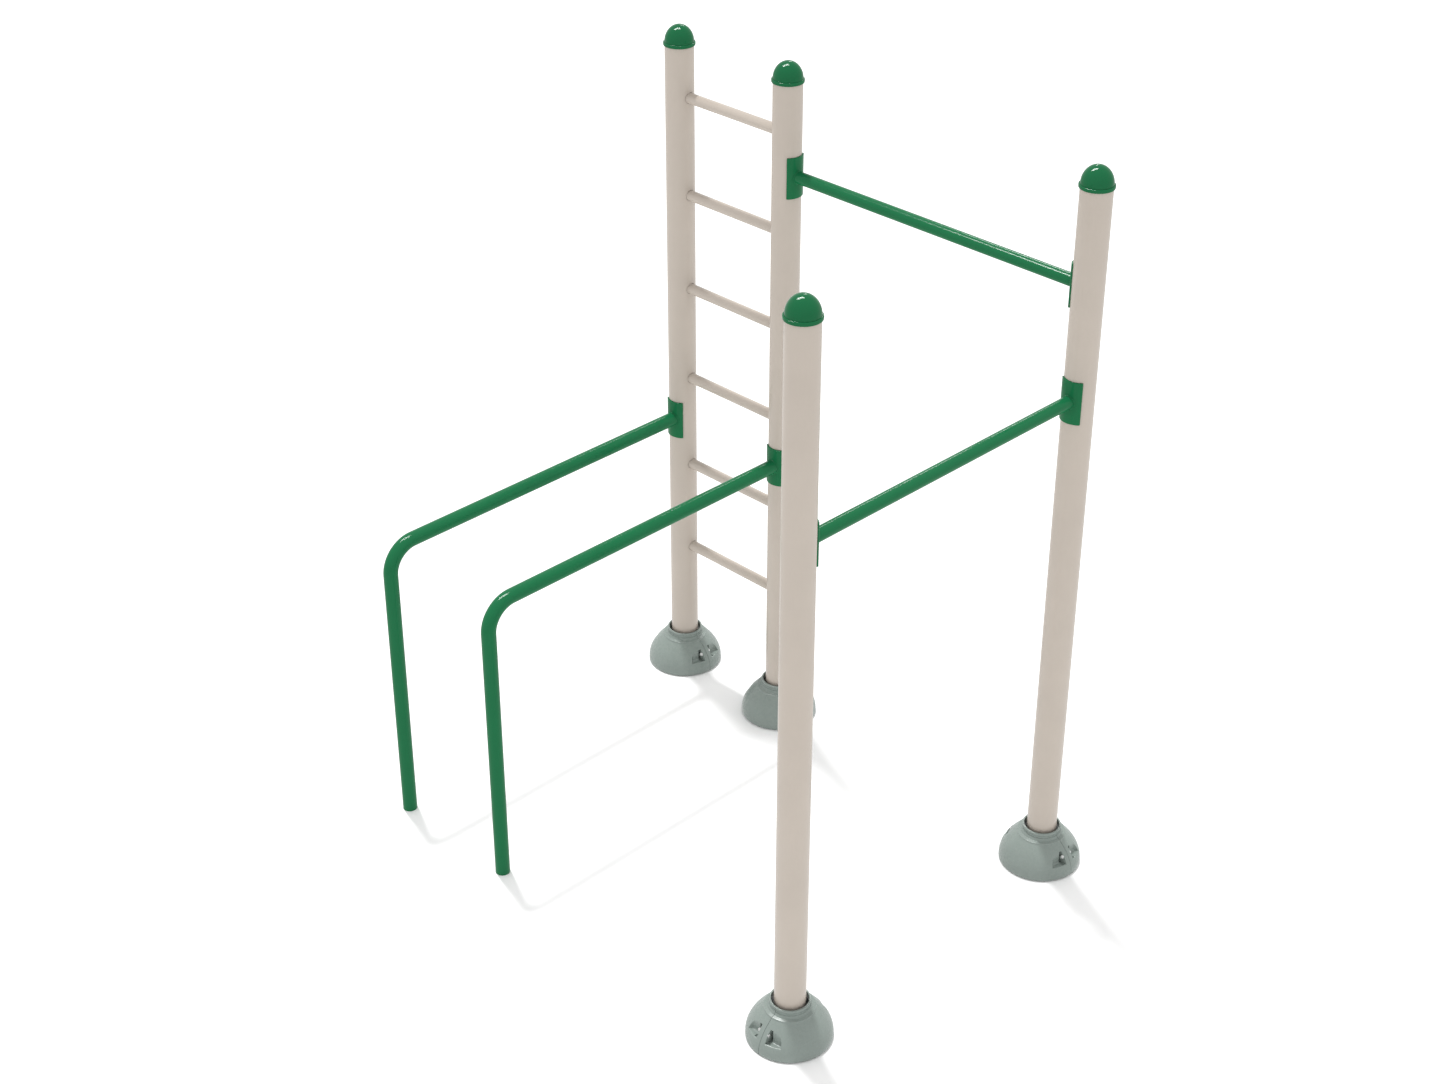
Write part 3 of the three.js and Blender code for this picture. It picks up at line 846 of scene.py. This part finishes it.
def glossy_pieces(looks):
    """The collection of green and plastic pieces, the only ones that reflect the softboxes."""
    collection = bpy.data.collections.new("glossy")
    shiny = [looks[name] for name in GLOSSY_LOOKS]
    for piece in bpy.data.objects:
        if piece.type == "MESH" and piece.active_material in shiny:
            collection.objects.link(piece)
    return collection


def make_softbox(number, glossy, towards, along, width, height, brightness):
    """A large lamp that only the gloss reflects."""
    lamp = bpy.data.lights.new(f"softbox_{number}", "AREA")
    lamp.shape = "RECTANGLE"
    lamp.size = width
    lamp.size_y = height
    lamp.energy = brightness * math.pi * width * height
    back = Vector(towards).normalized()
    side = Vector(along)
    side = (side - back * side.dot(back)).normalized()
    box = bpy.data.objects.new(f"softbox_{number}", lamp)
    box.matrix_world = Matrix((side, back.cross(side), back)).transposed().to_4x4()
    box.location = back * SOFTBOX_DISTANCE
    box.visible_diffuse = False
    box.visible_camera = False
    box.light_linking.receiver_collection = glossy
    bpy.context.scene.collection.objects.link(box)


def make_camera():
    view = bpy.data.cameras.new("camera")
    view.sensor_width = CAMERA_SENSOR
    view.lens = CAMERA_LENS
    view.clip_end = CAMERA_REACH
    camera = bpy.data.objects.new("camera", view)
    camera.location = CAMERA_PLACE
    level = math.cos(CAMERA_PITCH)
    ahead = Vector((math.sin(CAMERA_YAW) * level, math.cos(CAMERA_YAW) * level,
                    -math.sin(CAMERA_PITCH)))
    camera.rotation_mode = "QUATERNION"
    camera.rotation_quaternion = ahead.to_track_quat("-Z", "Y")
    bpy.context.scene.collection.objects.link(camera)
    bpy.context.scene.camera = camera


# ---------------------------------------------------------------- the whole scene
make_camera()
looks = make_looks()
for post in POSTS:
    post_piece(post, looks)
    cap_piece(post, looks)
    for letter in "ab":
        cover_piece(post, letter, looks)
        cover_bolt_piece(post, letter, looks)
    paint_cad_node(f"{post}_base_plate", looks["zinc_steel"])
    for i in range(1, 5):
        paint_cad_node(f"{post}_anchor_{i}", looks["zinc_steel"])

for rung in RUNGS:
    rung_piece(rung, looks)

for bar, start, end in PULL_UP_BARS:
    saddle_piece(f"{bar}_saddle_start", start, looks)
    saddle_piece(f"{bar}_saddle_end", end, looks)
    bar_piece(bar, start, end, looks)

for bar, post in zip(PARALLEL_BARS, LADDER_POSTS):
    saddle_piece(f"{bar}_saddle", post, looks)
    parallel_bar_piece(bar, post, looks)

make_floor()
make_world()
make_sun()
glossy = glossy_pieces(looks)
for number, softbox in enumerate(SOFTBOXES, 1):
    make_softbox(number, glossy, *softbox)
bpy.context.scene.view_settings.view_transform = "Standard"
